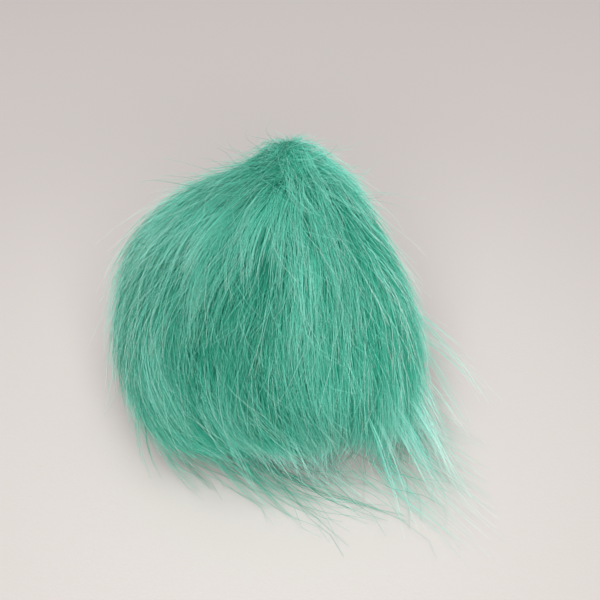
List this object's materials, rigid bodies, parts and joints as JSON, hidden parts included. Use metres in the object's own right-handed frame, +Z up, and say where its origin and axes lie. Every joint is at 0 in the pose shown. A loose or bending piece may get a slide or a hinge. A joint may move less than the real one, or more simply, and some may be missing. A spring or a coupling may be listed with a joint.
{
  "type": "pom pom",
  "caption": "Long-pile faux fur pom pom resting on a small flat spot, its locks combed down from a crown and swept out along the floor on one side.",
  "frame": {"origin": "middle of the flat spot that the ball rests on, at floor level", "axes": "+Z up, +X to the right and -Y to the front as the pom pom is seen in the picture; the pile is swept towards +X and -Y"},
  "size_m": [0.1222, 0.122, 0.0937],
  "materials": {
    "fur": "long mint green synthetic pile with a soft shine, paler where it thins out at the tips"
  },
  "bodies": {
    "root": {"fur_pom_pom": "fur"}
  },
  "joints": []
}
